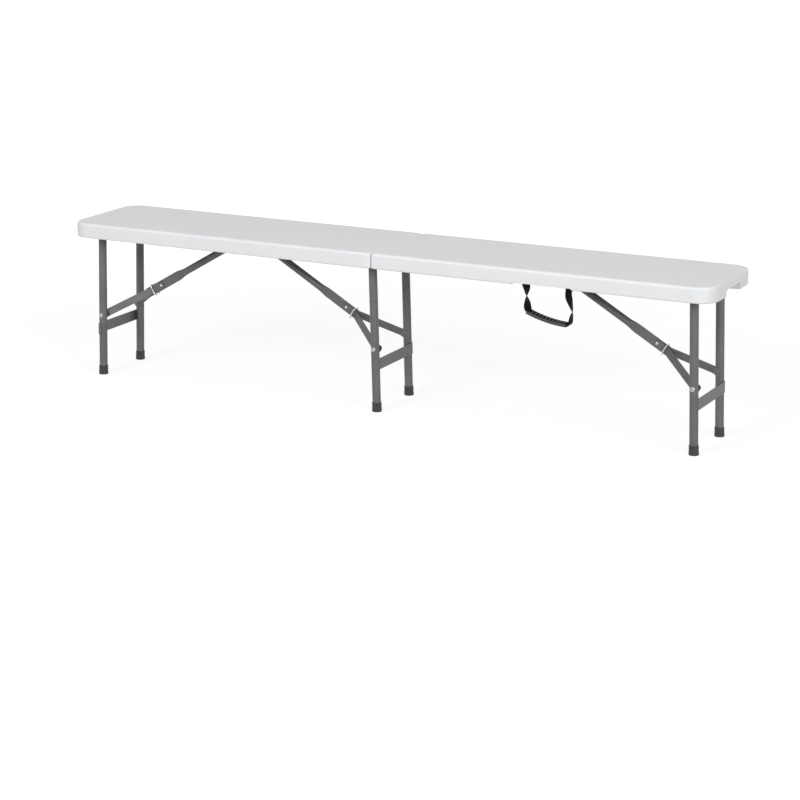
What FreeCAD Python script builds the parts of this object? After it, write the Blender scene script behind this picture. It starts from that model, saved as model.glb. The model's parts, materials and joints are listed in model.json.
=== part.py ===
import FreeCAD, Part
import math
import os
import re
from types import SimpleNamespace

from FreeCAD import Placement, Rotation, Vector

# Fold-in-half plastic bench, standing open.
# Millimetres, origin on the floor under the middle, X along the bench, Z up.
# The left half carries two leg frames, the right half one leg frame and a carry handle.

doc = FreeCAD.newDocument("folding_bench")
sheet = doc.addObject("Spreadsheet::Sheet", "Sizes")

driving_sizes = [
    # seat halves
    ("bench_length", 1830),
    ("bench_width", 300),
    ("bench_height", 430),
    ("seat_thickness", 40),
    ("deck_thickness", 10.5),
    ("rim_width", 20),
    ("end_rim_width", 28),
    ("seam_gap", 1),
    ("seam_wall", 8.5),
    ("corner_radius", 50),
    ("seam_corner_radius", 8),
    ("top_edge_radius", 7),
    ("bottom_edge_radius", 3),
    ("recess_corner_radius", 20),
    ("finger_notch_width", 100),
    ("finger_notch_height", 18),
    ("finger_notch_radius", 8),
    ("dimple_length", 21),
    ("dimple_width", 13),
    ("dimple_depth", 5),
    ("dimple_pitch", 43),
    ("dimple_row_pitch", 28),
    ("scallop_length", 32),
    ("scallop_width", 4),
    ("scallop_depth", 9),
    ("scallop_pitch", 63),
    # rails and seam hinge
    ("rail_width", 18),
    ("rail_wall", 1.5),
    ("rail_side_gap", 1),
    ("rail_lift", 1),
    ("rail_start", 8),
    ("ear_radius", 6),
    ("ear_thickness", 2),
    ("ear_gap", 0.3),
    ("ear_reach", 20),
    ("hinge_drop", 1.5),
    ("hinge_pin_diameter", 6),
    ("hinge_head_diameter", 9),
    ("hinge_head_height", 1.5),
    ("running_clearance", 0.05),
    ("screw_diameter", 4),
    ("screw_head_diameter", 8),
    ("screw_head_height", 1.6),
    ("screw_bite", 12),
    ("screw_rise", 14),
    ("screw_inner_offset", 149),
    ("screw_outer_offset", 346),
    # leg frames
    ("axle_rise", 13),
    ("axle_diameter", 19),
    ("tube_wall", 1.2),
    ("mid_tube_diameter", 16),
    ("outer_leg_inset", 66),
    ("centre_leg_inset", 22.5),
    ("leg_diameter", 22),
    ("leg_half_spacing", 92),
    ("leg_splay", 1.7),
    ("weld_gap", 0.05),
    ("stretcher_drop", 275),
    ("stretcher_width", 29),
    ("stretcher_thickness", 2),
    ("stretcher_wrap", 100),
    ("foot_height", 25),
    ("foot_diameter", 26),
    ("foot_top_diameter", 24.6),
    ("foot_floor", 5),
    ("rivet_drop", 236),
    ("rivet_diameter", 6),
    ("rivet_head_diameter", 10),
    ("rivet_head_height", 2),
    # folding braces
    ("strip_width", 20),
    ("strip_thickness", 2),
    ("strip_gap", 0.4),
    ("strip_leg_gap", 0.3),
    ("strip_heel", 12),
    ("strip_end_radius", 6.3),
    ("apex_straight", 30),
    ("apex_overhang", 8),
    ("arm_diameter", 19),
    ("arm_flat_thickness", 2.6),
    ("arm_flat_height", 26),
    ("arm_flat_length", 62),
    ("arm_taper", 30),
    ("arm_eye_height", 16),
    ("arm_eye_length", 30),
    ("arm_tip", 52),
    ("anchor_offset", 17),
    ("anchor_thickness", 2),
    ("anchor_height", 16),
    ("anchor_margin", 8),
    ("ring_wire", 3),
    ("ring_offset", 25),
    ("ring_inner_width", 22.5),
    ("ring_above", 13.2),
    ("ring_below", 14.8),
    ("ring_bend", 6),
    # transport clip on the left outer axle
    ("clip_length", 26),
    ("clip_diameter", 25),
    ("clip_span", 40),
    ("clip_wing_height", 9),
    # carry handle under the front of the right half
    ("handle_offset", 36.75),
    ("handle_spacing", 117),
    ("handle_drop", 80),
    ("handle_tilt_drop", 21),
    ("handle_notch_width", 160),
    ("handle_notch_depth", 4),
    ("strap_width", 22),
    ("strap_thickness", 1.6),
    ("strap_tail_width", 15),
    ("bail_diameter", 3),
    ("bail_lug", 1.5),
    ("bail_plate_height", 12),
    ("grip_diameter", 19),
    ("grip_rib_pitch", 7),
    ("grip_rib_width", 3.8),
    ("grip_rib_depth", 1.2),
    ("grip_rib_slope", 0.7),
    ("grip_clearance", 0.3),
]
aliases = [alias for alias, number in driving_sizes]
for row, (alias, number) in enumerate(driving_sizes, start=1):
    sheet.set(f"A{row}", alias)
    sheet.set(f"B{row}", str(number))
    sheet.setAlias(f"B{row}", alias)
doc.recompute()
v = SimpleNamespace(**{alias: float(sheet.get(alias)) for alias in aliases})

# levels and lines shared by several pieces, as numbers and as formulas of the sheet
rim_z = v.bench_height - v.seat_thickness
deck_z = v.bench_height - v.deck_thickness
axle_z = rim_z + v.axle_rise
hinge_z = rim_z - v.hinge_drop
rail_z = rim_z + v.rail_lift
screw_z = rim_z + v.screw_rise
half_end = v.bench_length / 2
half_width = v.bench_width / 2
recess_y = half_width - v.rim_width
recess_end = half_end - v.end_rim_width
rail_centre_y = recess_y - v.rail_side_gap - v.rail_width / 2
outer_axle_x = half_end - v.outer_leg_inset
mid_tube_x = (outer_axle_x + v.centre_leg_inset) / 2
handle_x = mid_tube_x + v.handle_offset

f_rim_z = "(bench_height - seat_thickness)"
f_axle_z = f"({f_rim_z} + axle_rise)"
f_hinge_z = f"({f_rim_z} - hinge_drop)"
f_screw_z = f"({f_rim_z} + screw_rise)"
f_recess_y = "(bench_width / 2 - rim_width)"
f_rail_outer_y = f"({f_recess_y} - rail_side_gap)"
f_rail_inner_y = f"({f_rail_outer_y} - rail_width)"
f_rail_centre_y = f"({f_rail_outer_y} - rail_width / 2)"
f_outer_axle_x = "(bench_length / 2 - outer_leg_inset)"
f_mid_tube_x = f"(({f_outer_axle_x} + centre_leg_inset) / 2)"
f_handle_x = f"({f_mid_tube_x} + handle_offset)"
f_leg_length = f"({f_axle_z} / cos(leg_splay * 1 deg))"

nodes = []


def formula(text):
    return re.sub(r"[a-z_]+", lambda word: "Sizes." + word[0] if word[0] in aliases else word[0], text)


def bind(item, **expressions):
    for name, text in expressions.items():
        item.setExpression(name, formula(text))


def place(item, x="0", y="0", z="0"):
    for axis, text in (("x", x), ("y", y), ("z", z)):
        item.setExpression("Placement.Base." + axis, formula(text))


def node(item, label):
    item.Label = label
    nodes.append(item)
    return item


directions = {
    "x": Rotation(Vector(0, 1, 0), 90),
    "y": Rotation(Vector(1, 0, 0), -90),
    "z": Rotation(),
}


def cylinder(radius, length, along, x="0", y="0", z="0"):
    item = doc.addObject("Part::Cylinder", "Cylinder")
    item.Placement = Placement(Vector(), directions[along])
    bind(item, Radius=radius, Height=length)
    place(item, x, y, z)
    return item


def box(dx, dy, dz, x="0", y="0", z="0"):
    item = doc.addObject("Part::Box", "Box")
    bind(item, Length=dx, Width=dy, Height=dz)
    place(item, x, y, z)
    return item


def fuse(*items):
    result = doc.addObject("Part::MultiFuse", "Fusion")
    result.Shapes = items
    return result


def cut(base, *tools):
    for tool in tools:
        result = doc.addObject("Part::Cut", "Cut")
        result.Base = base
        result.Tool = tool
        base = result
    return base


def group(label, items):
    result = doc.addObject("Part::Compound", "Group")
    result.Links = items
    return node(result, label)


def tube(diameter, length, along, x="0", y="0", z="0"):
    outside = cylinder(f"{diameter} / 2", length, along, x, y, z)
    bore = cylinder(f"{diameter} / 2 - tube_wall", length, along, x, y, z)
    return cut(outside, bore)


# Sketch helpers for the bodies

def sketch(body, role, offset=0.0):
    item = body.newObject("Sketcher::SketchObject", "Sketch")
    plane = next(feature for feature in body.Origin.OriginFeatures if feature.Role == role)
    item.AttachmentSupport = [(plane, "")]
    item.MapMode = "FlatFace"
    item.AttachmentOffset = Placement(Vector(0, 0, offset), Rotation())
    return item


def outline(item, corners):
    # closed outline through corners given as x, y and rounding radius
    points = [Vector(x, y, 0) for x, y, radius in corners]
    ends = []
    for i, (x, y, radius) in enumerate(corners):
        here = points[i]
        back = (points[i - 1] - here).normalize()
        ahead = (points[(i + 1) % len(points)] - here).normalize()
        if radius == 0:
            ends.append((here, here))
            continue
        half_angle = back.getAngle(ahead) / 2
        start = here + back * (radius / math.tan(half_angle))
        end = here + ahead * (radius / math.tan(half_angle))
        middle = here + (back + ahead).normalize() * (radius / math.sin(half_angle) - radius)
        item.addGeometry(Part.Arc(start, middle, end), False)
        ends.append((start, end))
    for i, (start, end) in enumerate(ends):
        following = ends[(i + 1) % len(ends)][0]
        if end.distanceToPoint(following) > Part.Precision.confusion():
            item.addGeometry(Part.LineSegment(end, following), False)


def circle(item, x, y, radius):
    item.addGeometry(Part.Circle(Vector(x, y, 0), Vector(0, 0, 1), radius), False)


def obround(item, x, y, length, width):
    dx, dy = length / 2, width / 2
    outline(item, [(x + i * dx, y + j * dy, dy) for i, j in ((1, 1), (-1, 1), (-1, -1), (1, -1))])


def pad(body, profile, length, symmetric=False):
    item = body.newObject("PartDesign::Pad", "Pad")
    item.Profile = profile
    item.SideType = "Symmetric" if symmetric else "One side"
    bind(item, Length=length)
    doc.recompute()
    return item


def pocket(body, profile, length, symmetric=False, flipped=False):
    volume = body.Shape.Volume
    item = body.newObject("PartDesign::Pocket", "Pocket")
    item.Profile = profile
    item.SideType = "Symmetric" if symmetric else "One side"
    item.Reversed = flipped
    bind(item, Length=length)
    doc.recompute()
    if not body.Shape.Volume < volume:
        raise RuntimeError("a pocket of " + body.Label + " removes nothing")
    return item


def row_along_x(body, feature, count, span):
    item = body.newObject("PartDesign::LinearPattern", "Row")
    item.Originals = [feature]
    axis = next(line for line in body.Origin.OriginFeatures if line.Role == "X_Axis")
    item.Direction = (axis, [""])
    item.Length = span
    item.Occurrences = count
    body.Tip = item
    doc.recompute()
    return item


def round_edges(body, radius, wanted):
    edges = [f"Edge{i}" for i, edge in enumerate(body.Shape.Edges, start=1) if wanted(edge)]
    base = body.Tip
    item = body.newObject("PartDesign::Fillet", "Fillet")
    item.Base = (base, edges)
    bind(item, Radius=radius)
    doc.recompute()


half_turn = {"right": Rotation(), "left": Rotation(Vector(0, 0, 1), 180)}


# Seat halves: blow-moulded shell with a deep rim, recess, tack-off dimples and rim scallops

def seat(half):
    body = doc.addObject("PartDesign::Body", half + "_seat")
    body.Label = half + "_seat"
    seam_x = v.seam_gap / 2
    profile = sketch(body, "XY_Plane", rim_z)
    outline(profile, [
        (seam_x, -half_width, v.seam_corner_radius),
        (half_end, -half_width, v.corner_radius),
        (half_end, half_width, v.corner_radius),
        (seam_x, half_width, v.seam_corner_radius),
    ])
    pad(body, profile, "seat_thickness")
    middle_z = rim_z + v.seat_thickness / 2
    round_edges(body, "top_edge_radius", lambda edge: edge.BoundBox.ZMin > middle_z)
    round_edges(body, "bottom_edge_radius", lambda edge: edge.BoundBox.ZMax < middle_z - v.top_edge_radius)

    # recess, opened through the seam wall where the rails run to the hinge
    rail_slot_y = rail_centre_y - v.rail_width / 2 - v.hinge_head_height - v.rail_side_gap
    wall_x = seam_x + v.seam_wall
    past_seam = -v.seam_gap
    profile = sketch(body, "XY_Plane", rim_z)
    outline(profile, [
        (past_seam, -recess_y, 0),
        (recess_end, -recess_y, v.recess_corner_radius),
        (recess_end, recess_y, v.recess_corner_radius),
        (past_seam, recess_y, 0),
        (past_seam, rail_slot_y, 0),
        (wall_x, rail_slot_y, 0),
        (wall_x, -rail_slot_y, 0),
        (past_seam, -rail_slot_y, 0),
    ])
    pocket(body, profile, "seat_thickness - deck_thickness", flipped=True)

    # finger notch in the end rim
    profile = sketch(body, "YZ_Plane", recess_end - v.recess_corner_radius)
    reach = v.finger_notch_width / 2
    top = rim_z + v.finger_notch_height
    outline(profile, [
        (-reach, rim_z - v.seat_thickness, 0),
        (reach, rim_z - v.seat_thickness, 0),
        (reach, top, v.finger_notch_radius),
        (-reach, top, v.finger_notch_radius),
    ])
    pocket(body, profile, "end_rim_width + recess_corner_radius + end_rim_width", flipped=True)

    # screw pilot holes across both rims
    profile = sketch(body, "XZ_Plane")
    for x in screw_places():
        circle(profile, x, screw_z, v.screw_diameter / 2)
    pocket(body, profile, f"2 * ({f_recess_y} + screw_bite)", symmetric=True)

    if half == "right":
        # shallow notch in the front rim where the handle webbing comes out
        profile = sketch(body, "XZ_Plane", recess_y - v.scallop_width)
        reach = v.handle_notch_width / 2
        outline(profile, [
            (handle_x - reach, rim_z - v.handle_notch_depth, 0),
            (handle_x + reach, rim_z - v.handle_notch_depth, 0),
            (handle_x + reach, rim_z + v.handle_notch_depth, v.handle_notch_depth / 2),
            (handle_x - reach, rim_z + v.handle_notch_depth, v.handle_notch_depth / 2),
        ])
        pocket(body, profile, "rim_width + scallop_width + scallop_width", flipped=True)

    # scallops moulded into the inner edge of the long rims
    run = outer_axle_x - v.scallop_pitch
    count = int(run // v.scallop_pitch)
    profile = sketch(body, "XY_Plane", rim_z)
    for side in (-1, 1):
        y = side * recess_y
        obround(profile, v.scallop_pitch, y, v.scallop_length, 2 * v.scallop_width)
    scallop = pocket(body, profile, "scallop_depth", flipped=True)
    row_along_x(body, scallop, count, (count - 1) * v.scallop_pitch)

    # staggered tack-off dimples under the deck
    profile = sketch(body, "XY_Plane", deck_z)
    first_x = wall_x + v.dimple_pitch
    rows = int((v.leg_half_spacing - v.dimple_width / 2) // v.dimple_row_pitch)
    for row in range(-rows, rows + 1):
        shift = v.dimple_pitch / 2 if row % 2 else 0
        obround(profile, first_x + shift, row * v.dimple_row_pitch, v.dimple_length, v.dimple_width)
    count = int((recess_end - first_x - v.dimple_pitch) // v.dimple_pitch)
    dimple = pocket(body, profile, "dimple_depth", flipped=True)
    row_along_x(body, dimple, count, (count - 1) * v.dimple_pitch)
    body.Placement = Placement(Vector(), half_turn[half])
    node(body, half + "_seat")


def screw_places():
    offsets = (v.screw_inner_offset, v.screw_outer_offset)
    return sorted(mid_tube_x + side * offset for side in (-1, 1) for offset in offsets)


# Rails: folded steel channels, open upwards, with two hinge ears at the seam

def rail(half, side):
    label = f"{half}_{side}_rail"
    body = doc.addObject("PartDesign::Body", label)
    half_rail = v.rail_width / 2
    profile = sketch(body, "YZ_Plane", v.rail_start)
    outline(profile, [
        (-half_rail, rail_z, 0),
        (half_rail, rail_z, 0),
        (half_rail, deck_z, 0),
        (half_rail - v.rail_wall, deck_z, 0),
        (half_rail - v.rail_wall, rail_z + v.rail_wall, 0),
        (-half_rail + v.rail_wall, rail_z + v.rail_wall, 0),
        (-half_rail + v.rail_wall, deck_z, 0),
        (-half_rail, deck_z, 0),
    ])
    # the rail stops where the corners of the recess start to round
    pad(body, profile, "bench_length / 2 - end_rim_width - recess_corner_radius - rail_start")

    # the left ears are flush with the channel sides and the right ears turn inside them
    ear_y = half_rail if half == "left" else half_rail - v.ear_thickness - v.ear_gap
    for plane_y in (ear_y, v.ear_thickness - ear_y):
        profile = sketch(body, "XZ_Plane", -plane_y)
        radius = v.ear_radius
        low = radius * math.sqrt(0.5)
        top, right = Vector(0, hinge_z + radius, 0), Vector(radius, hinge_z, 0)
        toe = Vector(v.ear_reach, rail_z, 0)
        heel = Vector(v.ear_reach, rail_z + 2 * radius, 0)
        profile.addGeometry(Part.Arc(top, Vector(-low, hinge_z - low, 0), right), False)
        for start, end in ((right, toe), (toe, heel), (heel, top)):
            profile.addGeometry(Part.LineSegment(start, end), False)
        pad(body, profile, "ear_thickness")

    profile = sketch(body, "XZ_Plane")
    circle(profile, 0, hinge_z, v.hinge_pin_diameter / 2 + v.running_clearance)
    circle(profile, v.centre_leg_inset, axle_z, v.axle_diameter / 2 + v.running_clearance)
    circle(profile, mid_tube_x, axle_z, v.mid_tube_diameter / 2 + v.running_clearance)
    circle(profile, outer_axle_x, axle_z, v.axle_diameter / 2 + v.running_clearance)
    for x in screw_places():
        circle(profile, x, screw_z, v.screw_diameter / 2 + v.running_clearance)
    pocket(body, profile, "2 * rail_width", symmetric=True)
    y = rail_centre_y if side == "back" else -rail_centre_y
    body.Placement = Placement(Vector(0, y, 0), half_turn[half])
    node(body, label)


def hinge_pin(side):
    sign = "1" if side == "back" else "-1"
    shank = cylinder("hinge_pin_diameter / 2", "rail_width", "y",
                     y=f"{sign} * {f_rail_centre_y} - rail_width / 2", z=f_hinge_z)
    head_y = f_rail_inner_y + " - hinge_head_height" if side == "back" else "-" + f_rail_inner_y
    head = cylinder("hinge_head_diameter / 2", "hinge_head_height", "y", y=head_y, z=f_hinge_z)
    node(fuse(shank, head), side + "_hinge_pin")


# Cross tubes end flush with the outer rail walls
def cross_tube(label, diameter, x):
    node(tube(diameter, f"2 * {f_rail_outer_y}", "y", x=x, y="-" + f_rail_outer_y, z=f_axle_z), label)


def rail_screws(half):
    screws = []
    turn = "1" if half == "right" else "-1"
    for step in ("-screw_outer_offset", "-screw_inner_offset", "+screw_inner_offset", "+screw_outer_offset"):
        x = f"{turn} * ({f_mid_tube_x} {step})"
        shank_length = "rail_width + rail_side_gap + screw_bite"
        for y_head, y_shank in (
            (f_rail_inner_y + " - screw_head_height", f_rail_inner_y),
            ("-" + f_rail_inner_y, f"-({f_rail_outer_y} + rail_side_gap + screw_bite)"),
        ):
            head = cylinder("screw_head_diameter / 2", "screw_head_height", "y", x, y_head, f_screw_z)
            shank = cylinder("screw_diameter / 2", shank_length, "y", x, y_shank, f_screw_z)
            screws.append(fuse(head, shank))
    group(half + "_rail_screws", screws)


# Leg frames, built about their axle with the leg along -Z, then turned by the splay.
# outward is +1 where the feet lean towards +X and -1 where they lean towards -X.

leg_frames = {
    "left": ("-" + f_outer_axle_x, -outer_axle_x, -1),
    "centre": ("-centre_leg_inset", -v.centre_leg_inset, 1),
    "right": (f_outer_axle_x, outer_axle_x, 1),
}


def stand(item, frame):
    f_axle_x, axle_x, outward = leg_frames[frame]
    item.Placement = Placement(Vector(), Rotation(Vector(0, 1, 0), -outward))
    place(item, f_axle_x, "0", f_axle_z)
    item.setExpression("Placement.Rotation.Angle", formula(f"{-outward} * leg_splay * 1 deg"))
    return item


def leg(frame, side):
    y = "leg_half_spacing" if side == "back" else "-leg_half_spacing"
    reach = f"({f_leg_length} - foot_floor)"
    stock = tube("leg_diameter", reach, "z", y=y, z="-" + reach)
    saddle = cylinder("axle_diameter / 2 + weld_gap", "2 * leg_diameter", "y", y=y + " - leg_diameter")
    hole = cylinder("rivet_diameter / 2 + running_clearance", "2 * leg_diameter", "y",
                    y=y + " - leg_diameter", z="-rivet_drop")
    node(stand(cut(stock, saddle, hole), frame), f"{frame}_{side}_leg")


def stretcher(frame):
    outward = leg_frames[frame][2]
    body = doc.addObject("PartDesign::Body", frame + "_stretcher")
    inner = v.leg_diameter / 2 + v.weld_gap
    outer = inner + v.stretcher_thickness
    wrap = math.radians(v.stretcher_wrap)
    profile = sketch(body, "XY_Plane", -v.stretcher_drop)

    def on_leg(radius, angle, side):
        y = v.leg_half_spacing + radius * math.sin(angle)
        return Vector(outward * radius * math.cos(angle), side * y, 0)

    for radius in (inner, outer):
        profile.addGeometry(Part.LineSegment(on_leg(radius, 0, -1), on_leg(radius, 0, 1)), False)
        for side in (-1, 1):
            arc = Part.Arc(*(on_leg(radius, angle, side) for angle in (0, wrap / 2, wrap)))
            profile.addGeometry(arc, False)
    for side in (-1, 1):
        profile.addGeometry(Part.LineSegment(on_leg(inner, wrap, side), on_leg(outer, wrap, side)), False)
    pad(body, profile, "stretcher_width", symmetric=True)
    node(stand(body, frame), frame + "_stretcher")


def feet(frame):
    caps = []
    floor = box("bench_length", "bench_width", "bench_height", "-bench_length / 2", "-bench_width / 2",
                "-bench_height")
    bottom = f"-({f_leg_length} + foot_floor)"
    for y in ("-leg_half_spacing", "leg_half_spacing"):
        cap = doc.addObject("Part::Cone", "Cap")
        bind(cap, Radius1="foot_diameter / 2", Radius2="foot_top_diameter / 2")
        bind(cap, Height="foot_height + foot_floor")
        place(cap, y=y, z=bottom)
        socket = cylinder("leg_diameter / 2 + weld_gap", "foot_height", "z", y=y,
                          z=f"-({f_leg_length} - foot_floor)")
        caps.append(cut(stand(cut(cap, socket), frame), floor))
    group(frame + "_feet", caps)


def leg_rivets(frame):
    # the shank ends at the inner side of the leg tube, where the brace strip lies against it
    rivets = []
    for sign in ("-1", "1"):
        inside = "(leg_half_spacing - leg_diameter / 2)"
        start = inside if sign == "1" else "-(leg_half_spacing + leg_diameter / 2)"
        shank = cylinder("rivet_diameter / 2", "leg_diameter", "y", y=start, z="-rivet_drop")
        outside = "leg_half_spacing + leg_diameter / 2"
        head_y = outside if sign == "1" else f"-({outside} + rivet_head_height)"
        head = cylinder("rivet_head_diameter / 2", "rivet_head_height", "y", y=head_y, z="-rivet_drop")
        rivets.append(stand(fuse(shank, head), frame))
    group(frame + "_leg_rivets", rivets)


# Folding braces: an arm from the mid tube to the apex, and two strips from the apex to the legs.
# Both lie on one straight line when the bench stands open.

splay = math.radians(v.leg_splay)
anchor_reach = outer_axle_x - mid_tube_x - v.anchor_offset
brace_run = anchor_reach + v.rivet_drop * math.sin(splay)
brace_rise = v.rivet_drop * math.cos(splay)
brace_length = math.hypot(brace_run, brace_rise)
brace_slope = math.degrees(math.atan2(brace_rise, brace_run))
# folded flat, the apex lies on the line from axle to anchor, which fixes both lengths
folded_apex = (v.rivet_drop + anchor_reach - brace_length) / 2
strip_reach = v.rivet_drop - folded_apex
arm_reach = anchor_reach - folded_apex


def along_brace(frame):
    # placement with the origin at the anchor pin and X down the brace towards the leg
    f_axle_x, axle_x, outward = leg_frames[frame]
    turn = brace_slope if outward > 0 else 180 - brace_slope
    return Placement(Vector(axle_x - outward * anchor_reach, 0, axle_z), Rotation(Vector(0, 1, 0), turn))


def brace_strip(frame, side):
    label = f"{frame}_{side}_brace_strip"
    sign = 1 if side == "back" else -1
    body = doc.addObject("PartDesign::Body", label)
    apex_in = v.arm_flat_thickness / 2 + v.strip_gap
    apex_out = apex_in + v.strip_thickness
    leg_out = v.leg_half_spacing - v.leg_diameter / 2 - v.strip_leg_gap
    leg_in = leg_out - v.strip_thickness
    bend_x = arm_reach + v.apex_straight
    foot_x = brace_length - v.strip_heel
    tail_x = brace_length + v.strip_heel
    head_x = arm_reach - v.apex_overhang
    profile = sketch(body, "XY_Plane")
    outline(profile, [
        (head_x, sign * apex_in, 0), (bend_x, sign * apex_in, 0), (foot_x, sign * leg_in, 0),
        (tail_x, sign * leg_in, 0), (tail_x, sign * leg_out, 0), (foot_x, sign * leg_out, 0),
        (bend_x, sign * apex_out, 0), (head_x, sign * apex_out, 0),
    ])
    pad(body, profile, "strip_width", symmetric=True)

    def at_an_end(edge):
        x = edge.CenterOfMass.x
        across = edge.BoundBox.ZLength + edge.BoundBox.XLength < v.weld_gap
        return across and (x < arm_reach or x > brace_length)

    round_edges(body, "strip_end_radius", at_an_end)
    profile = sketch(body, "XZ_Plane")
    hole = v.rivet_diameter / 2 + v.running_clearance
    circle(profile, arm_reach, 0, hole)
    circle(profile, brace_length, 0, hole)
    pocket(body, profile, "2 * leg_half_spacing", symmetric=True)
    body.Placement = along_brace(frame)
    node(body, label)


def apex_rivet(frame):
    stack = "(arm_flat_thickness + 2 * strip_gap + 2 * strip_thickness)"
    shank = cylinder("rivet_diameter / 2", stack, "y", y=f"-{stack} / 2")
    heads = [
        cylinder("rivet_head_diameter / 2", "rivet_head_height", "y", y=y)
        for y in (stack + " / 2", f"-({stack} / 2 + rivet_head_height)")
    ]
    rivet = fuse(shank, *heads)
    rivet.Placement = along_brace(frame) * Placement(Vector(arm_reach, 0, 0), Rotation())
    node(rivet, frame + "_apex_rivet")


def strip_rivets(frame):
    # inner heads of the leg rivets, which stay with the strips
    inner = "(leg_half_spacing - leg_diameter / 2 - strip_leg_gap - strip_thickness)"
    rivets = []
    for sign in (1, -1):
        stem_y = inner if sign > 0 else f"-({inner} + strip_thickness)"
        head_y = inner + " - rivet_head_height" if sign > 0 else "-" + inner
        stem = cylinder("rivet_diameter / 2", "strip_thickness", "y", y=stem_y)
        head = cylinder("rivet_head_diameter / 2", "rivet_head_height", "y", y=head_y)
        rivet = fuse(stem, head)
        rivet.Placement = along_brace(frame) * Placement(Vector(brace_length, 0, 0), Rotation())
        rivets.append(rivet)
    group(frame + "_strip_rivets", rivets)


def flattened_section(x, half_thickness, half_height):
    flat = half_height - half_thickness
    corners = [Vector(x, y, z) for y, z in (
        (-half_thickness, -flat), (-half_thickness, flat), (half_thickness, flat), (half_thickness, -flat))]
    top, bottom = Vector(x, 0, half_height), Vector(x, 0, -half_height)
    return Part.Wire([
        Part.LineSegment(corners[0], corners[1]).toShape(),
        Part.Arc(corners[1], top, corners[2]).toShape(),
        Part.LineSegment(corners[2], corners[3]).toShape(),
        Part.Arc(corners[3], bottom, corners[0]).toShape(),
    ])


def brace_arm(frame):
    # round tube pressed flat at both ends: an eye on the anchor pin and a long tongue past the apex
    thin = v.arm_flat_thickness / 2
    eye = (thin, v.arm_eye_height / 2)
    tongue = (thin, v.arm_flat_height / 2)
    blunt = (thin, v.arm_flat_height / 2 - v.strip_thickness)
    tube_end = v.arm_diameter / 2
    tubular = (tube_end - v.weld_gap, tube_end)
    steps = 5
    eye_turns = [math.radians(degrees) for degrees in (25, 40, 60, 90)]

    def blend(x, first, last):
        for step in range(1, steps):
            share = (1 - math.cos(math.pi * step / steps)) / 2
            size = [a + (b - a) * share for a, b in zip(first, last)]
            yield flattened_section(x + v.arm_taper * step / steps, *size)

    tongue_x = arm_reach - v.arm_flat_length
    tip_x = arm_reach + v.arm_tip
    sections = [
        flattened_section(-eye[1] * math.cos(turn), thin, eye[1] * math.sin(turn))
        for turn in eye_turns
    ]
    sections += [
        flattened_section(v.arm_eye_length, *eye),
        *blend(v.arm_eye_length, eye, tubular),
        flattened_section(v.arm_eye_length + v.arm_taper, *tubular),
        flattened_section(tongue_x - v.arm_taper, *tubular),
        *blend(tongue_x - v.arm_taper, tubular, tongue),
        flattened_section(tongue_x, *tongue),
        flattened_section(tip_x - v.strip_thickness, *tongue),
        flattened_section(tip_x, *blunt),
    ]
    solid = Part.makeLoft(sections, True, True)
    for x in (0, arm_reach):
        start = Vector(x, -v.arm_diameter, 0)
        hole = v.rivet_diameter / 2 + v.running_clearance
        solid = solid.cut(Part.makeCylinder(hole, 2 * v.arm_diameter, start, Vector(0, 1, 0)))
    item = doc.addObject("Part::Feature", frame + "_brace_arm")
    item.Shape = solid
    item.Placement = along_brace(frame)
    node(item, frame + "_brace_arm")


def arm_pin(frame):
    stack = "(arm_flat_thickness + 2 * strip_gap + 2 * anchor_thickness)"
    shank = cylinder("rivet_diameter / 2", stack, "y", y=f"-{stack} / 2")
    heads = [
        cylinder("rivet_head_diameter / 2", "rivet_head_height", "y", y=y)
        for y in (stack + " / 2", f"-({stack} / 2 + rivet_head_height)")
    ]
    pin = fuse(shank, *heads)
    pin.Placement = along_brace(frame)
    node(pin, frame + "_arm_pin")


def brace_anchor(half):
    # two plates gripping the mid tube, with the arm ends pinned between them
    plates = []
    sides = (-1, 1) if half == "left" else (1,)
    turn = "-1" if half == "left" else "1"
    inner = "(arm_flat_thickness / 2 + strip_gap)"
    reach = "(anchor_offset + anchor_margin)"
    start = "-" + reach if half == "left" else "-anchor_height / 2"
    length = f"{reach} - ({start})"
    for y in (inner, f"-({inner} + anchor_thickness)"):
        plate = box(length, "anchor_thickness", "anchor_height", start, y, "-anchor_height / 2")
        middle = cylinder("mid_tube_diameter / 2 + weld_gap", "bench_width", "y", y="-bench_width / 2")
        hole = "rivet_diameter / 2 + weld_gap"
        holes = [
            cylinder(hole, "bench_width", "y", f"{side} * anchor_offset", "-bench_width / 2")
            for side in sides
        ]
        plate = cut(plate, middle, *holes)
        place(plate, f"{turn} * {f_mid_tube_x}", "0", f_axle_z)
        plates.append(plate)
    group(half + "_brace_anchor", plates)


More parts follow.
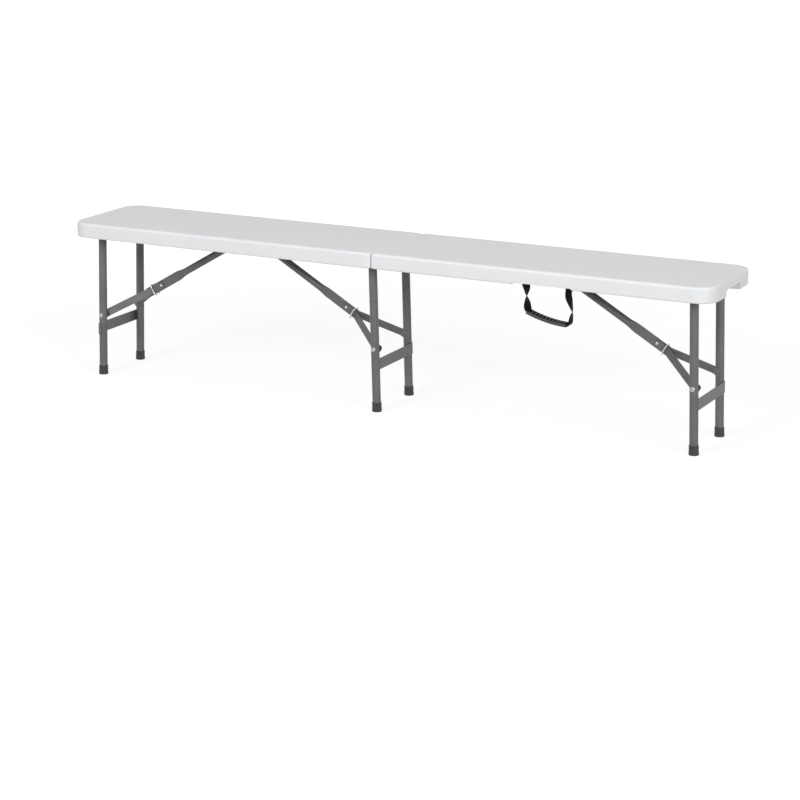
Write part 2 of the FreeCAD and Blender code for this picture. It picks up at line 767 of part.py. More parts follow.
def lock_ring(frame):
    # bent wire ring round the tongue of the arm and the two strips, just past the apex
    outward = leg_frames[frame][2]
    radius = v.ring_wire / 2
    side = v.ring_inner_width / 2 + radius
    top = outward * (v.ring_above + radius)
    low = -outward * (v.ring_below + radius)
    x = arm_reach + v.ring_offset
    corners = [(side, top), (-side, top), (-side, low), (side, low)]
    edges, ends = [], []
    for i, (y, z) in enumerate(corners):
        here = Vector(x, y, z)
        back = (Vector(x, *corners[i - 1]) - here).normalize()
        ahead = (Vector(x, *corners[(i + 1) % len(corners)]) - here).normalize()
        start, end = here + back * v.ring_bend, here + ahead * v.ring_bend
        middle = here + (back + ahead).normalize() * v.ring_bend * (math.sqrt(2) - 1)
        ends.append((start, Part.Arc(start, middle, end).toShape(), end))
    for i, (start, bend, end) in enumerate(ends):
        edges.append(bend)
        edges.append(Part.LineSegment(end, ends[(i + 1) % len(ends)][0]).toShape())
    path = Part.Wire(edges)
    first = path.Edges[0]
    begin = first.valueAt(first.FirstParameter)
    section = Part.Wire(Part.makeCircle(radius, begin, first.tangentAt(first.FirstParameter)))
    item = doc.addObject("Part::Feature", frame + "_lock_ring")
    item.Shape = Part.Solid(path.makePipeShell([section], True, False).Shells[0])
    item.Placement = along_brace(frame)
    node(item, frame + "_lock_ring")


# Transport clip snapped on the left outer axle, which turns inside it
def transport_clip():
    collar = cylinder("clip_diameter / 2", "clip_length", "y", y="-clip_length / 2")
    wing_length = "(clip_length - clip_wing_height)"
    wings = box("clip_span", wing_length, "clip_wing_height", "-clip_span / 2", f"-{wing_length} / 2",
                "-clip_wing_height / 2")
    bore = cylinder("axle_diameter / 2 + running_clearance", "clip_length", "y", y="-clip_length / 2")
    clip = cut(fuse(collar, wings), bore)
    place(clip, "-" + f_outer_axle_x, "0", f_axle_z)
    node(clip, "transport_clip")


# Carry handle: webbing looped over two wire bails on the front rail and through a ribbed grip

f_strap_xs = (f"({f_handle_x} - handle_spacing / 2)", f"({f_handle_x} + handle_spacing / 2)")
f_loop_radius = "(bail_diameter / 2 + running_clearance + strap_thickness)"
f_bail_reach = f"(bail_lug + {f_loop_radius} + grip_clearance)"
f_strap_y = f"(-({f_rail_inner_y} - {f_bail_reach}))"
loop_radius = v.bail_diameter / 2 + v.running_clearance + v.strap_thickness
bail_reach = v.bail_lug + loop_radius + v.grip_clearance


def handle_bails():
    bails = []
    inside = "(strap_width + 2 * grip_clearance)"
    overall = f"({inside} + 2 * bail_lug)"
    for x in f_strap_xs:
        start = f"{x} - {overall} / 2"
        plate = box(overall, "bail_lug", "bail_plate_height", start, f"-{f_rail_inner_y}",
                    f"{f_rim_z} + strap_thickness")
        wire = cylinder("bail_diameter / 2", overall, "x", start, f_strap_y, f_rim_z)
        lug_size = f"({f_loop_radius} * 2)"
        lugs = [
            box("bail_lug", f"{f_bail_reach} + {lug_size} / 2", lug_size, lug_x, f"-{f_rail_inner_y}",
                f"{f_rim_z} - {lug_size} / 2")
            for lug_x in (start, f"{start} + bail_lug + {inside}")
        ]
        bails.append(fuse(plate, wire, *lugs))
    group("handle_bails", bails)


grip_tilt = math.degrees(math.atan2(v.handle_tilt_drop, v.handle_spacing))
grip_middle = Vector(handle_x, -(rail_centre_y - v.rail_width / 2 - bail_reach),
                     rim_z - v.handle_drop - v.handle_tilt_drop / 2)
grip_run = math.hypot(v.handle_spacing, v.handle_tilt_drop)


def handle_strap():
    pieces = []
    for x, drop in zip(f_strap_xs, ("handle_drop", "(handle_drop + handle_tilt_drop)")):
        start = f"{x} - strap_width / 2"
        loop = cut(
            cylinder(f_loop_radius, "strap_width", "x", start, f_strap_y, f_rim_z),
            cylinder("bail_diameter / 2 + running_clearance", "strap_width", "x", start, f_strap_y, f_rim_z))
        ribbon_length = f"{drop} - bail_diameter / 2 - strap_thickness / 2"
        ribbon = box("strap_width", "strap_thickness", ribbon_length, start,
                     f"{f_strap_y} - strap_thickness / 2", f"{f_rim_z} - {drop}")
        pieces += [loop, ribbon]
    tail = doc.addObject("Part::Box", "Tail")
    bind(tail, Width="strap_tail_width", Height="strap_thickness")
    tail.Length = grip_run
    turn = Rotation(Vector(0, 1, 0), grip_tilt)
    corner = Vector(-grip_run / 2, -v.strap_tail_width / 2, -v.strap_thickness / 2)
    tail.Placement = Placement(grip_middle, turn) * Placement(corner, Rotation())
    node(fuse(tail, *pieces), "handle_strap")


def handle_grip():
    body = doc.addObject("PartDesign::Body", "handle_grip")
    length = grip_run - v.strap_width - 2 * v.strap_thickness
    radius = v.grip_diameter / 2
    count = int(length // v.grip_rib_pitch)
    start = -count * v.grip_rib_pitch / 2
    corners = [(start, 0, 0), (start, radius, 0)]
    for rib in range(count):
        x = start + rib * v.grip_rib_pitch
        valley = radius - v.grip_rib_depth
        corners += [
            (x + v.grip_rib_width, radius, 0),
            (x + v.grip_rib_width + v.grip_rib_slope, valley, 0),
            (x + v.grip_rib_pitch - v.grip_rib_slope, valley, 0),
            (x + v.grip_rib_pitch, radius, 0),
        ]
    corners.append((-start, 0, 0))
    profile = sketch(body, "XY_Plane")
    outline(profile, corners)
    turned = body.newObject("PartDesign::Revolution", "Revolution")
    turned.Profile = profile
    turned.ReferenceAxis = (next(line for line in body.Origin.OriginFeatures if line.Role == "X_Axis"), [""])
    turned.Angle = 360
    doc.recompute()
    profile = sketch(body, "YZ_Plane")
    reach = v.strap_tail_width / 2 + v.grip_clearance
    thick = v.strap_thickness / 2 + v.grip_clearance
    outline(profile, [(-reach, -thick, 0), (reach, -thick, 0), (reach, thick, 0), (-reach, thick, 0)])
    pocket(body, profile, "2 * handle_spacing", symmetric=True)
    body.Placement = Placement(grip_middle, Rotation(Vector(0, 1, 0), grip_tilt))
    node(body, "handle_grip")


for half in ("left", "right"):
    seat(half)
    for side in ("front", "back"):
        rail(half, side)
    rail_screws(half)
    brace_anchor(half)
for side in ("front", "back"):
    hinge_pin(side)
cross_tube("left_mid_tube", "mid_tube_diameter", "-" + f_mid_tube_x)
cross_tube("right_mid_tube", "mid_tube_diameter", f_mid_tube_x)
cross_tube("right_inner_tube", "axle_diameter", "centre_leg_inset")
for frame, (f_axle_x, axle_x, outward) in leg_frames.items():
    cross_tube(frame + "_leg_axle", "axle_diameter", f_axle_x)
    for side in ("front", "back"):
        leg(frame, side)
        brace_strip(frame, side)
    stretcher(frame)
    feet(frame)
    leg_rivets(frame)
    apex_rivet(frame)
    strip_rivets(frame)
    brace_arm(frame)
    arm_pin(frame)
    lock_ring(frame)
transport_clip()
handle_bails()
handle_strap()
handle_grip()

doc.recompute()
failed = [item.Label for item in doc.Objects if "Invalid" in item.State or "Error" in item.State]
failed += [item.Label for item in nodes if item.Shape.isNull() or not item.Shape.isValid()]
if failed:
    raise RuntimeError("these did not build: " + ", ".join(failed))

os.makedirs("parts", exist_ok=True)
for item in nodes:
    item.Shape.exportStep(f"parts/{item.Label}.step")
print(len(nodes), "sub-parts")
print("brace slope", round(brace_slope, 4), "arm", round(arm_reach, 3), "strip", round(strip_reach, 3))
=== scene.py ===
import json
import math

import bmesh
import bpy
from mathutils import Matrix, Vector


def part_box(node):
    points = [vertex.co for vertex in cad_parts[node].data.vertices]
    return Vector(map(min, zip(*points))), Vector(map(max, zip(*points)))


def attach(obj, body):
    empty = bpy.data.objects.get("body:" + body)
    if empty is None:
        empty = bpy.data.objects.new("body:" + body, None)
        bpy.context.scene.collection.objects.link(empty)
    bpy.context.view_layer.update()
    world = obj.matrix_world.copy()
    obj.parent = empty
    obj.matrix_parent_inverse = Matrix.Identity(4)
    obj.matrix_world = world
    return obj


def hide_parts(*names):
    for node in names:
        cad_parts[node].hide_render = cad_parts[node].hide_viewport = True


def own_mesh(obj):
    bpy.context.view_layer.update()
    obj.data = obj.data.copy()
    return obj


# Fold-in-half bench standing open, all sizes in mm unless a name says otherwise
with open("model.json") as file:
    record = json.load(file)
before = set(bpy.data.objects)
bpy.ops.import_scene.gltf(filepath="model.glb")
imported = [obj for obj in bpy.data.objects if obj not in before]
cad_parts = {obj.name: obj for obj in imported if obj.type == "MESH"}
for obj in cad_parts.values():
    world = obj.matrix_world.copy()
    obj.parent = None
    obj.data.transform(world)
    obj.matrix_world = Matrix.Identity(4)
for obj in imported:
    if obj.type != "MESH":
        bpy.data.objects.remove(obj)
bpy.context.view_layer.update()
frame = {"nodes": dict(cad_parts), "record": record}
nodes = frame["nodes"]
mm = 0.001
weld = 0.01  # corners of a piece closer than this are joined
fineWeld = 0.001  # the same inside one turned shape
print("frame loaded,", len(nodes), "nodes")


def linear(hexColour):
    channels = [int(hexColour[i:i + 2], 16) / 255 for i in (1, 3, 5)]
    return [c / 12.92 if c <= 0.04045 else ((c + 0.055) / 1.055) ** 2.4 for c in channels] + [1.0]


def perMm(size):
    return 1000 / size  # texture scale for a feature of that size, on Object coordinates in metres


def waveScale(pitch):
    return 2 * math.pi / 20 / pitch  # wave texture scale for a band of that pitch, in the map's own units


def addNode(tree, kind, settings, links):
    node = tree.nodes.new(kind)
    for name, value in settings.items():
        setattr(node, name, value)
    for name, value in links.items():
        if isinstance(value, bpy.types.NodeSocket):
            tree.links.new(value, node.inputs[name])
        else:
            node.inputs[name].default_value = value
    return node


def newMaterial(name, fixed):
    material = bpy.data.materials.new(name)
    material.use_nodes = True
    tree = material.node_tree
    shader = tree.nodes["Principled BSDF"]
    for socket, value in fixed.items():
        shader.inputs[socket].default_value = value
    return material, tree, shader


def speckle(tree, size, detail, roughness=0.5):
    # noise with features of the given size
    coords = addNode(tree, "ShaderNodeTexCoord", {}, {})
    noise = addNode(tree, "ShaderNodeTexNoise", {}, {
        "Vector": coords.outputs["Object"], "Scale": perMm(size), "Detail": detail, "Roughness": roughness})
    return noise.outputs["Fac"]


def twoTone(tree, shader, pattern, low, high):
    # low and high are each a level of the pattern and the colour from there on
    tint = addNode(tree, "ShaderNodeValToRGB", {}, {"Fac": pattern})
    for element, (level, colour) in zip(tint.color_ramp.elements, (low, high)):
        element.position = level
        element.color = linear(colour)
    tree.links.new(tint.outputs["Color"], shader.inputs["Base Color"])


def unevenGloss(tree, shader, pattern, least, most):
    gloss = addNode(tree, "ShaderNodeMapRange", {}, {"Value": pattern, "To Min": least, "To Max": most})
    tree.links.new(gloss.outputs["Result"], shader.inputs["Roughness"])


def relief(tree, shader, pattern, strength, depth, edge=0):
    links = {"Height": pattern, "Strength": strength, "Distance": depth * mm}
    if edge:
        softEdge = addNode(tree, "ShaderNodeBevel", {"samples": 4}, {"Radius": edge * mm})
        links["Normal"] = softEdge.outputs["Normal"]
    bump = addNode(tree, "ShaderNodeBump", {}, links)
    tree.links.new(bump.outputs["Normal"], shader.inputs["Normal"])


# Blow-moulded polyethylene: pale, satin, a fine cast grain, faint clouding where the wall thickness varies
seatPlastic = {"shade": (0.32, "#e4e6e8"), "pale": (0.68, "#e8e9eb"), "clouding": 140, "gloss": (0.42, 0.56),
               "grain": 1.6, "grainDepth": 0.05, "grainStrength": 0.35, "edge": 1.5}
polyethylene, tree, shader = newMaterial("blowMouldedPolyethylene", {
    "IOR": 1.54, "Subsurface Weight": 0.08, "Subsurface Radius": (0.004, 0.004, 0.0042),
    "Subsurface Scale": 1.0})
clouds = speckle(tree, seatPlastic["clouding"], 4.0, 0.6)
grain = speckle(tree, seatPlastic["grain"], 2.0)
twoTone(tree, shader, clouds, seatPlastic["shade"], seatPlastic["pale"])
unevenGloss(tree, shader, clouds, *seatPlastic["gloss"])
relief(tree, shader, grain, seatPlastic["grainStrength"], seatPlastic["grainDepth"], seatPlastic["edge"])

# Powder coat with metal flake on steel tube and sheet: mid grey, a broad sheen, orange peel,
# paler rubbed patches
coat = {"body": (0.4, "#666667"), "rubbed": (0.75, "#737374"), "rubbing": 60, "gloss": (0.36, 0.46),
        "peel": 2.2, "peelDepth": 0.06, "peelStrength": 0.4, "edge": 0.6}
powderCoat, tree, shader = newMaterial("powderCoatedSteel", {
    "IOR": 1.5, "Metallic": 0.2, "Specular IOR Level": 0.3})
rubbing = speckle(tree, coat["rubbing"], 6.0, 0.65)
peel = speckle(tree, coat["peel"], 1.5)
twoTone(tree, shader, rubbing, coat["body"], coat["rubbed"])
unevenGloss(tree, shader, rubbing, *coat["gloss"])
relief(tree, shader, peel, coat["peelStrength"], coat["peelDepth"], coat["edge"])

# Zinc-plated rivets, pins and screws: bright grey metal, faintly mottled
zinc = {"dull": (0.35, "#a3a6a8"), "bright": (0.65, "#c4c6c7"), "mottle": 3, "gloss": (0.28, 0.46)}
zincPlate, tree, shader = newMaterial("zincPlatedSteel", {"Metallic": 1.0})
mottle = speckle(tree, zinc["mottle"], 5.0)
twoTone(tree, shader, mottle, zinc["dull"], zinc["bright"])
unevenGloss(tree, shader, mottle, *zinc["gloss"])

# Chromed wire: mirror bright, with faint smears
chrome = {"colour": "#dcdddf", "smear": 14, "gloss": (0.16, 0.3)}
chromedWire, tree, shader = newMaterial("chromedWire", {
    "Metallic": 1.0, "Base Color": linear(chrome["colour"])})
unevenGloss(tree, shader, speckle(tree, chrome["smear"], 4.0), *chrome["gloss"])

# Moulded polypropylene: near-black satin plastic, lightly scuffed, with a fine spark-eroded grain
moulding = {"scuff": 12, "gloss": (0.38, 0.55), "grainDepth": 0.08, "grainStrength": 0.4, "finishes": (
    ("footCapPolypropylene", "#262728", "#333435", 0.9),
    ("clipPolypropylene", "#161617", "#222223", 0.9),
    ("gripPolypropylene", "#363738", "#444546", 1.1),
)}
polypropylene = {}
for name, dark, pale, grainSize in moulding["finishes"]:
    polypropylene[name], tree, shader = newMaterial(name, {"IOR": 1.49})
    scuff = speckle(tree, moulding["scuff"], 5.0, 0.6)
    grain = speckle(tree, grainSize, 2.0)
    twoTone(tree, shader, scuff, (0.35, dark), (0.75, pale))
    unevenGloss(tree, shader, scuff, *moulding["gloss"])
    relief(tree, shader, grain, moulding["grainStrength"], moulding["grainDepth"])

# Woven polypropylene webbing: ribs along the strap crossed by the weft, a soft sheen;
# drawn at 2 mm so that it shows
weave = {"warp": 2.0, "weft": 1.4, "dark": (0.0, "#060607"), "thread": (1.0, "#151516"),
         "ribDepth": 0.25, "ribStrength": 0.6}
webbing, tree, shader = newMaterial("wovenWebbing", {
    "Roughness": 0.7, "Sheen Weight": 0.04, "Sheen Roughness": 0.4, "Specular IOR Level": 0.12})
strapMap = addNode(tree, "ShaderNodeUVMap", {"uv_map": "strapMap"}, {})
warp = addNode(tree, "ShaderNodeTexWave", {"bands_direction": "X"}, {
    "Vector": strapMap.outputs["UV"], "Scale": waveScale(weave["warp"]), "Distortion": 0.4, "Detail": 1.0})
weft = addNode(tree, "ShaderNodeTexWave", {"bands_direction": "Y"}, {
    "Vector": strapMap.outputs["UV"], "Scale": waveScale(weave["weft"]), "Distortion": 0.6, "Detail": 1.0})
crossing = addNode(tree, "ShaderNodeMath", {"operation": "MULTIPLY"}, {
    0: warp.outputs["Fac"], 1: weft.outputs["Fac"]})
twoTone(tree, shader, crossing.outputs["Value"], weave["dark"], weave["thread"])
relief(tree, shader, crossing.outputs["Value"], weave["ribStrength"], weave["ribDepth"])
print("materials made")


# CAD nodes keep their shape and take these finishes
finishes = {
    "moulded_seat_plastic": polyethylene,
    "coated_steel": powderCoat,
    "foot_cap_plastic": polypropylene["footCapPolypropylene"],
    "chromed_wire": chromedWire,
    "bright_steel": zincPlate,
    "clip_plastic": polypropylene["clipPolypropylene"],
    "handle_webbing": webbing,
    "grip_plastic": polypropylene["gripPolypropylene"],
}
for subpart in frame["record"]["subparts"]:
    mesh = nodes[subpart["node"]].data
    mesh.materials.clear()
    mesh.materials.append(finishes[subpart["material_slot"]])
print("finishes on the CAD nodes")


def makePiece(name, bm, material, body, replaced):
    bmesh.ops.remove_doubles(bm, verts=bm.verts[:], dist=weld * mm)
    bmesh.ops.recalc_face_normals(bm, faces=bm.faces[:])
    mesh = bpy.data.meshes.new(name)
    bm.to_mesh(mesh)
    bm.free()
    mesh.materials.append(material)
    piece = bpy.data.objects.new(name, mesh)
    bpy.context.scene.collection.objects.link(piece)
    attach(piece, body)
    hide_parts(replaced)
    return piece


def shadeSmooth(piece, angle):
    # edges that turn by more than the angle stay crisp
    for polygon in piece.data.polygons:
        polygon.use_smooth = True
    piece.data.set_sharp_from_angle(angle=math.radians(angle))


def turnedShape(profile, steps):
    # (radius, height) pairs turned round the Z axis
    turned = bmesh.new()
    verts = [turned.verts.new((radius * mm, 0, height * mm)) for radius, height in profile]
    edges = [turned.edges.new(pair) for pair in zip(verts, verts[1:])]
    bmesh.ops.spin(turned, geom=verts + edges, cent=(0, 0, 0), axis=(0, 0, 1), angle=2 * math.pi,
                   steps=steps, use_merge=True)
    bmesh.ops.remove_doubles(turned, verts=turned.verts[:], dist=fineWeld * mm)
    return turned


def addTo(bm, part, matrix):
    bmesh.ops.transform(part, matrix=matrix, verts=part.verts[:])
    spare = bpy.data.meshes.new("spare")
    part.to_mesh(spare)
    part.free()
    bm.from_mesh(spare)
    bpy.data.meshes.remove(spare)


legFrames = {
    "left": {"axle": -849.0, "outward": -1, "half": "left_half"},
    "centre": {"axle": -22.5, "outward": 1, "half": "left_half"},
    "right": {"axle": 849.0, "outward": 1, "half": "right_half"},
}
legStance = {"axleHeight": 403.0, "spacing": 92.0, "splay": 1.7}

# Foot caps: a soft lip at the top and a slightly flared base, sheared to the lean of the leg
footCap = {"steps": 40, "crease": 35, "profile": [
    (0, 0), (11.4, 0), (12.4, 0.3), (12.9, 1.2), (13.0, 2.6), (13.0, 4.2), (12.75, 5.4), (12.6, 7.0),
    (12.35, 20.5), (12.4, 21.6), (12.45, 23.6), (12.25, 24.6), (11.8, 25.0), (11.05, 25.0)]}
for name, leg in legFrames.items():
    lean = math.tan(math.radians(legStance["splay"])) * leg["outward"]
    footX = leg["axle"] + legStance["axleHeight"] * lean
    caps = bmesh.new()
    for y in (-legStance["spacing"], legStance["spacing"]):
        place = Matrix.Translation((footX * mm, y * mm, 0)) @ Matrix.Shear("XY", 4, (-lean, 0))
        addTo(caps, turnedShape(footCap["profile"], footCap["steps"]), place)
    piece = makePiece(name + "FootCaps", caps, polypropylene["footCapPolypropylene"], name + "_leg",
                      name + "_feet")
    shadeSmooth(piece, footCap["crease"])
print("foot caps made")

# Rivets: heads on a plain shank, lying along Y; each head is shares of its own radius and of the dome
rivet = {"shank": 3.0, "head": 5.0, "tubularHead": 5.6, "pinHead": 4.2, "dome": 2.0, "legGrip": 22.0,
         "stripGrip": 2.0, "steps": 28, "crease": 40}


def domedHead(base, sign, head):
    share = [(0.0, 1.0), (0.34, 0.96), (0.62, 0.82), (0.84, 0.56), (0.96, 0.28), (1.0, 0.0)]
    return [(head * r, base + sign * rivet["dome"] * h) for r, h in share]


def tubularHead(base, sign):
    # rolled-over rim round a sunk middle
    share = [(1.0, 0.0), (1.06, 0.35), (0.98, 0.75), (0.8, 1.0), (0.62, 0.85), (0.5, 0.3), (0.46, -0.4),
             (0.0, -0.5)]
    return [(rivet["tubularHead"] * r, base + sign * rivet["dome"] * h) for r, h in share]


def layRivets(name, node, body, profiles, material):
    low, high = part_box(node)
    centreX, centreZ = (low.x + high.x) / 2, (low.z + high.z) / 2
    rivets = bmesh.new()
    for profile in profiles:
        place = Matrix.Translation((centreX, 0, centreZ)) @ Matrix.Rotation(-math.pi / 2, 4, "X")
        addTo(rivets, turnedShape(profile, rivet["steps"]), place)
    piece = makePiece(name, rivets, material, body, node)
    shadeSmooth(piece, rivet["crease"])


def farSide(node):
    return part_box(node)[1].y / mm


for name, leg in legFrames.items():
    outer = farSide(name + "_leg_rivets") - rivet["dome"]
    inner = outer - rivet["legGrip"]
    layRivets(name + "LegRivets", name + "_leg_rivets", name + "_leg", [
        [(0, sign * inner), (rivet["shank"], sign * inner), (rivet["shank"], sign * outer)]
        + tubularHead(sign * outer, sign)
        for sign in (-1, 1)], zincPlate)
    outer = farSide(name + "_strip_rivets")
    inner = outer - rivet["stripGrip"]
    layRivets(name + "StripRivets", name + "_strip_rivets", name + "_fork", [
        [(0, sign * outer), (rivet["shank"], sign * outer), (rivet["shank"], sign * inner)]
        + domedHead(sign * inner, -sign, rivet["head"])[::-1]
        for sign in (-1, 1)], powderCoat)
    for pin, body in (("_apex_rivet", name + "_fork"), ("_arm_pin", leg["half"])):
        reach = farSide(name + pin) - rivet["dome"]
        layRivets(name + pin.title().replace("_", ""), name + pin, body, [
            domedHead(-reach, -1, rivet["pinHead"]) + [(rivet["shank"], -reach), (rivet["shank"], reach)]
            + domedHead(reach, 1, rivet["pinHead"])[::-1]], zincPlate)
print("rivets made")

# Carry handle: webbing looped round two bails and led through a sagging moulded grip
handle = {"y": -106.05, "width": 25.0, "bailWidth": 21.6, "bailHeight": 383.5, "thickness": 1.6,
          "bow": 2.0, "pressed": 0.012, "shares": (-0.5, -0.46, -0.2, 0.2, 0.46, 0.5)}
bailLoop = {"xs": (414, 531), "height": 390.0, "radius": 2.55, "turns": range(-30, 211, 30),
            "end": (0.5, 387.2)}
strapStations = [
    # x, y offset, z, turn of the width about the vertical; 0 hangs from a bail and -90 lies in the grip
    (414, -0.5, 387.2, 0), (414, -0.9, 384, 0), (415.6, -1.6, 378, -15), (415.6, 0, 367.7, -38),
    (414.2, 0, 356.5, -58), (415.6, 0, 349, -79), (418.0, 0, 336, -105), (418.7, 0, 326, -112),
    (420.4, 0, 319.6, -106), (424, 0, 315.2, -97), (429, 0, 312.4, -92), (436, 0, 309.6, -90),
    (455, 0, 303.3, -90), (474.6, 0, 298.6, -90), (494, 0, 294.9, -90), (513, 0, 292.8, -90),
    (526, 0, 291.8, -90), (531.5, 0, 292.2, -92), (534.4, 0, 295.4, -94), (535.2, 0, 303, -93),
    (536.4, 0, 312, -88), (537.4, 0, 321, -80), (537.8, 0, 329.6, -56), (535.4, 0, 338, -45),
    (532.2, 0, 347.4, -35), (529.2, 0, 359, -20), (528.4, -0.6, 369, -29), (529, -1.6, 378.6, -34),
    (530.8, -1.0, 385, 0), (531, -0.5, 387.2, 0)]


def loopStations(x):
    endY, endZ = bailLoop["end"]
    stations = [(x, endY, endZ, 0)]
    for turn in bailLoop["turns"]:
        sideways = bailLoop["radius"] * math.cos(math.radians(turn))
        upward = bailLoop["radius"] * math.sin(math.radians(turn))
        stations.append((x, sideways, bailLoop["height"] + upward, 0))
    return stations + [(x, -endY, endZ, 0)]


def strapRow(station):
    x, yOffset, z, turn = station
    sideways = Vector((math.cos(math.radians(turn)), math.sin(math.radians(turn)), 0))
    outward = Vector((-sideways.y, sideways.x, 0))
    centre = Vector((x, handle["y"] + yOffset, z))
    width = handle["bailWidth"] if z >= handle["bailHeight"] else handle["width"]
    bow = 0 if turn in (0, -90) else handle["bow"]  # free webbing curls a little as it twists
    return [(centre + sideways * width * share + outward * bow * (1 - 4 * share ** 2)) * mm
            for share in handle["shares"]]


def layRibbon(strap, run, across, stations):
    row = [strap.verts.new(point) for point in strapRow(stations[0])]
    edges = [strap.edges.new(pair) for pair in zip(row, row[1:])]
    lastCentre = (row[0].co + row[-1].co) / 2
    travelled = 0.0
    for station in stations:
        points = strapRow(station)
        centre = (points[0] + points[-1]) / 2
        if station != stations[0]:
            travelled += (centre - lastCentre).length / mm
            made = bmesh.ops.extrude_edge_only(strap, edges=edges)["geom"]
            fresh = [item for item in made if isinstance(item, bmesh.types.BMVert)]
            row = [next(edge.other_vert(old) for edge in old.link_edges if edge.other_vert(old) in fresh)
                   for old in row]
            edges = [item for item in made if isinstance(item, bmesh.types.BMEdge)
                     and item.verts[0] in fresh and item.verts[1] in fresh]
            for vert, point in zip(row, points):
                vert.co = point
        for vert, share in zip(row, handle["shares"]):
            vert[run] = travelled
            vert[across] = handle["width"] * share
        lastCentre = centre
    return travelled


def webbingPiece(name, ribbons):
    strap = bmesh.new()
    strapUv = strap.loops.layers.uv.new("strapMap")
    run = strap.verts.layers.float.new("run")
    across = strap.verts.layers.float.new("across")
    lengths = [round(layRibbon(strap, run, across, stations)) for stations in ribbons]
    for face in strap.faces:
        for loop in face.loops:
            loop[strapUv].uv = (loop.vert[across], loop.vert[run])
    piece = makePiece(name, strap, webbing, "handle", "handle_strap")
    rounding = piece.modifiers.new("rounding", "SUBSURF")
    rounding.levels = rounding.render_levels = 2
    rounding.boundary_smooth = "PRESERVE_CORNERS"
    wall = piece.modifiers.new("thickness", "SOLIDIFY")
    wall.thickness = handle["thickness"] * mm
    wall.offset = 0
    shadeSmooth(piece, 180)
    print(name, "made, lengths in mm", lengths)
    return piece


piece = webbingPiece("handleWebbing", [strapStations])
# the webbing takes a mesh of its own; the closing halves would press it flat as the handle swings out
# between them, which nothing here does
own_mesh(piece)
webbingPiece("bailLoops", [loopStations(x) for x in bailLoop["xs"]])

# Grip: a curved trough with cross bars over the webbing
grip = {"from": (420.5, 315.4), "to": (528.0, 292.0), "sag": 4.8, "steps": 28, "barPitch": 9.8, "bars": 10,
        "bar": (4.6, 27.0, 1.8), "barHeight": 2.7, "edge": 0.6, "edgeAngle": 40, "crease": 50, "profile": [
            (-14.3, 4.2), (-14.7, 3.2), (-14.6, -1.0), (-13.2, -3.4), (-10.0, -4.2), (10.0, -4.2),
            (13.2, -3.4), (14.6, -1.0), (14.7, 3.2), (14.3, 4.2), (12.9, 4.2), (13.0, -0.6), (12.0, -2.0),
            (9.6, -2.6), (-9.6, -2.6), (-12.0, -2.0), (-13.0, -0.6), (-12.9, 4.2)]}
(startX, startZ), (endX, endZ) = grip["from"], grip["to"]
chord = math.hypot(endX - startX, endZ - startZ)
bend = chord ** 2 / (8 * grip["sag"]) + grip["sag"] / 2
arc = 2 * math.asin(chord / 2 / bend)
tilt = math.atan2(startZ - endZ, endX - startX)
pivot = Vector((0, 0, (bend - grip["sag"]) * mm))


def roundPivot(angle):
    return Matrix.Translation(pivot) @ Matrix.Rotation(angle, 4, "Y") @ Matrix.Translation(-pivot)


trough = bmesh.new()
ring = [trough.verts.new((0, y * mm, (z - grip["sag"]) * mm)) for y, z in grip["profile"]]
section = trough.faces.new(ring)
bmesh.ops.transform(trough, matrix=roundPivot(arc / 2), verts=ring)
bmesh.ops.spin(trough, geom=[section] + section.edges[:] + ring, cent=pivot, axis=(0, 1, 0), angle=-arc,
               steps=grip["steps"])
barLift = Matrix.Translation((0, 0, (grip["barHeight"] - grip["sag"]) * mm))
for bar in range(grip["bars"]):
    beam = bmesh.new()
    bmesh.ops.create_cube(beam, size=1.0)
    bmesh.ops.scale(beam, vec=[side * mm for side in grip["bar"]], verts=beam.verts[:])
    turn = (bar - (grip["bars"] - 1) / 2) * grip["barPitch"] / bend
    addTo(trough, beam, roundPivot(-turn) @ barLift)
middle = Matrix.Translation(((startX + endX) / 2 * mm, handle["y"] * mm, (startZ + endZ) / 2 * mm))
bmesh.ops.transform(trough, matrix=middle @ Matrix.Rotation(tilt, 4, "Y"), verts=trough.verts[:])
piece = makePiece("handleGrip", trough, polypropylene["gripPolypropylene"], "handle", "handle_grip")
soft = piece.modifiers.new("softEdges", "BEVEL")
soft.width = grip["edge"] * mm
soft.segments = 2
soft.limit_method = "ANGLE"
soft.angle_limit = math.radians(grip["edgeAngle"])
shadeSmooth(piece, grip["crease"])
print("grip made")


def seenDirectly(tree):
    # 1 for what the camera sees, also mirrored or through something clear, and 0 for the light it gives
    path = addNode(tree, "ShaderNodeLightPath", {}, {})
    seen = addNode(tree, "ShaderNodeMath", {"operation": "MAXIMUM"}, {
        0: path.outputs["Is Camera Ray"], 1: path.outputs["Is Glossy Ray"]})
    seenToo = addNode(tree, "ShaderNodeMath", {"operation": "MAXIMUM"}, {
        0: seen.outputs["Value"], 1: path.outputs["Is Transmission Ray"]})
    return seenToo.outputs["Value"]


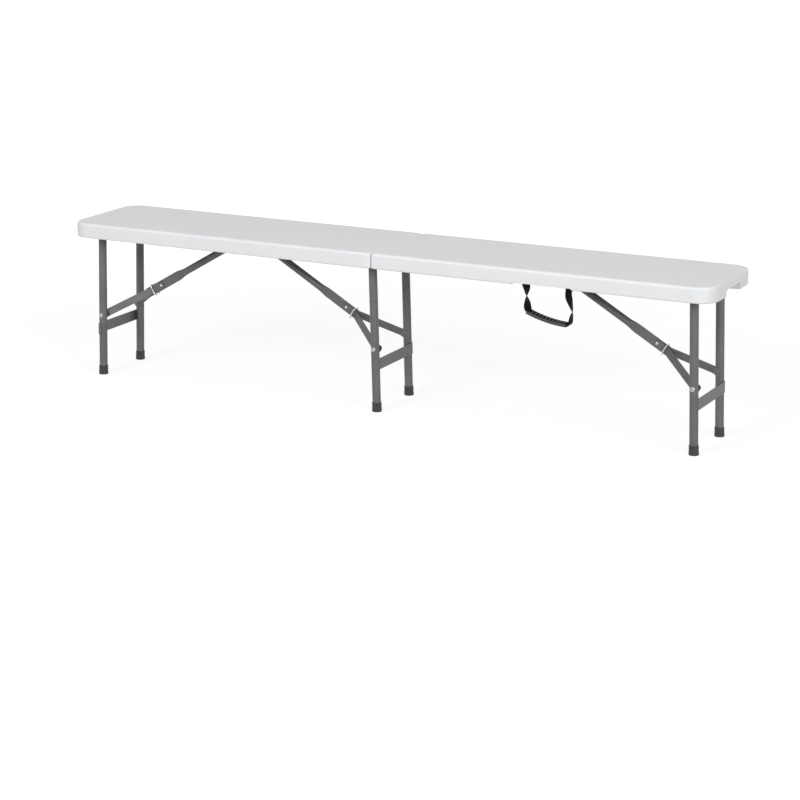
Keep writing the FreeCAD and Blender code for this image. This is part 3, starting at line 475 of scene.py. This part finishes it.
# Pale floor that keeps a faint shadow and fades to white further out, in metres
stage = {"floorSize": 60.0, "floor": "#c8c8c8", "lift": 0.6, "glow": 1.42, "sky": 0.26,
         "fadeFrom": 1.3, "fadeTo": 3.4}
floorMaterial = bpy.data.materials.new("paleFloor")
floorMaterial.use_nodes = True
tree = floorMaterial.node_tree
tree.nodes.clear()
matte = addNode(tree, "ShaderNodeBsdfDiffuse", {}, {"Color": linear(stage["floor"])})
glow = addNode(tree, "ShaderNodeEmission", {}, {"Color": (1, 1, 1, 1), "Strength": stage["glow"]})
coords = addNode(tree, "ShaderNodeTexCoord", {}, {})
away = addNode(tree, "ShaderNodeVectorMath", {"operation": "LENGTH"}, {0: coords.outputs["Object"]})
fade = addNode(tree, "ShaderNodeMapRange", {"interpolation_type": "SMOOTHSTEP"}, {
    "Value": away.outputs["Value"], "From Min": stage["fadeFrom"], "From Max": stage["fadeTo"],
    "To Min": stage["lift"], "To Max": 1.0})
share = addNode(tree, "ShaderNodeMath", {"operation": "MULTIPLY"}, {
    0: seenDirectly(tree), 1: fade.outputs["Result"]})
blendIn = addNode(tree, "ShaderNodeMixShader", {}, {
    "Fac": share.outputs["Value"], 1: matte.outputs["BSDF"], 2: glow.outputs["Emission"]})
addNode(tree, "ShaderNodeOutputMaterial", {}, {"Surface": blendIn.outputs["Shader"]})
floorBm = bmesh.new()
bmesh.ops.create_grid(floorBm, x_segments=1, y_segments=1, size=stage["floorSize"] / 2)
floorMesh = bpy.data.meshes.new("floor")
floorBm.to_mesh(floorMesh)
floorBm.free()
floorMesh.materials.append(floorMaterial)
floor = bpy.data.objects.new("floor", floorMesh)
bpy.context.scene.collection.objects.link(floor)

world = bpy.data.worlds.new("paleSky")
bpy.context.scene.world = world
world.use_nodes = True
tree = world.node_tree
tree.nodes.clear()
strength = addNode(tree, "ShaderNodeMapRange", {}, {
    "Value": seenDirectly(tree), "To Min": stage["sky"], "To Max": 1.0})
sky = addNode(tree, "ShaderNodeBackground", {}, {
    "Color": (1, 1, 1, 1), "Strength": strength.outputs["Result"]})
addNode(tree, "ShaderNodeOutputWorld", {}, {"Surface": sky.outputs["Background"]})

# Soft light from the right and the front, and a little from above; places in metres, power in watts
lamps = {
    "rightSoftbox": {"at": (6.8, -4.4, 3.5), "to": (0, 0, 0.3), "size": 4.0, "power": 330},
    "frontSoftbox": {"at": (-1.6, -6.6, 4.2), "to": (0, 0, 0.3), "size": 3.0, "power": 262},
    "topSoftbox": {"at": (0.0, -0.6, 5.2), "to": (0, 0, 0.3), "size": 4.0, "power": 30},
}
for name, lamp in lamps.items():
    data = bpy.data.lights.new(name, "AREA")
    data.shape = "DISK"
    data.size = lamp["size"]
    data.energy = lamp["power"]
    light = bpy.data.objects.new(name, data)
    light.location = lamp["at"]
    aim = Vector(lamp["to"]) - Vector(lamp["at"])
    light.rotation_euler = aim.to_track_quat("-Z", "Y").to_euler()
    bpy.context.scene.collection.objects.link(light)

# Camera at the place the photo was taken from, in metres and degrees
view = {"at": (2.748027, -5.352347, 1.654128), "turn": (74.708, 0.0, 27.097), "lens": 106.72, "sensor": 36}
cameraData = bpy.data.cameras.new("photoCamera")
cameraData.lens = view["lens"]
cameraData.sensor_width = view["sensor"]
camera = bpy.data.objects.new("photoCamera", cameraData)
camera.location = view["at"]
camera.rotation_euler = [math.radians(angle) for angle in view["turn"]]
bpy.context.scene.collection.objects.link(camera)
bpy.context.scene.camera = camera
bpy.context.scene.view_settings.view_transform = "Standard"
print("stage, lamps and camera set")
